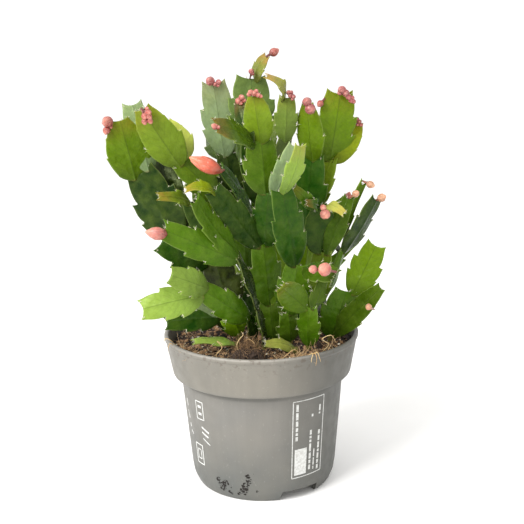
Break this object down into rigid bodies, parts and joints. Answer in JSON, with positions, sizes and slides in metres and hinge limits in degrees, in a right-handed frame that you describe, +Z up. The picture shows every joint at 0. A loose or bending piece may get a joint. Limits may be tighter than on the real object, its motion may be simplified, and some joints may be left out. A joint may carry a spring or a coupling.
{
  "type": "potted christmas cactus",
  "caption": "Christmas cactus with flat jointed stems and small flower buds, in soil in a round plastic nursery pot with a wide collar",
  "frame": {"origin": "the middle of the whole plant's box, on the surface that the pot stands on; the pot's own axis is 7.5 mm to the right of it and 6 mm in front", "axes": "+Z up along the pot's axis, -Y to the front, +X to the right as seen from the front"},
  "size_m": [0.1669, 0.1368, 0.2649],
  "materials": {
    "pot_plastic": "satin warm grey polypropylene, scuffed",
    "potting_soil": "moist dark peat with fibres and perlite",
    "stem_dark": "waxy fleshy stem, dark green",
    "stem_green": "waxy fleshy stem, mid green",
    "stem_bright": "waxy fleshy stem, bright green",
    "bud_coral": "glossy coral flower bud",
    "bud_peach": "glossy peach flower bud",
    "bud_pink": "glossy pink flower bud"
  },
  "bodies": {
    "root": {"pot": "pot_plastic", "soil": "potting_soil", "shoot_front": "stem_bright", "shoot_front_fork": "stem_bright", "shoot_front_right": "stem_bright", "shoot_low": "stem_bright", "shoot_right_low": "stem_green", "shoot_right": "stem_dark", "shoot_olive": "stem_dark", "shoot_tall_right": "stem_green", "shoot_crown": "stem_green", "shoot_left": "stem_dark", "shoot_step": "stem_bright", "shoot_low_left": "stem_green", "shoot_soil_left": "stem_bright", "shoot_soil_front": "stem_bright", "shoot_back_left": "stem_green", "shoot_back": "stem_dark", "shoot_back_right": "stem_green", "shoot_back_low": "stem_bright", "buds_left_corner": "bud_coral", "buds_left_top": "bud_coral", "buds_crown_left": "bud_coral", "buds_crown": "bud_coral", "bud_summit": "bud_coral", "buds_crown_front": "bud_coral", "buds_crown_side": "bud_coral", "bud_front_left": "bud_coral", "buds_crown_right": "bud_pink", "buds_right_pair": "bud_pink", "buds_right_top": "bud_coral", "bud_right_edge": "bud_coral", "buds_right_corner": "bud_pink", "bud_large": "bud_peach", "bud_fork": "bud_pink", "bud_olive": "bud_peach", "bud_olive_tip": "bud_peach", "bud_right": "bud_peach", "buds_young": "bud_pink", "buds_low_right": "bud_coral", "bud_low_edge": "bud_peach", "buds_back_left": "bud_coral", "buds_back": "bud_coral", "bud_back_middle": "bud_pink", "buds_back_right": "bud_coral", "bud_back_low": "bud_peach"}
  },
  "joints": []
}
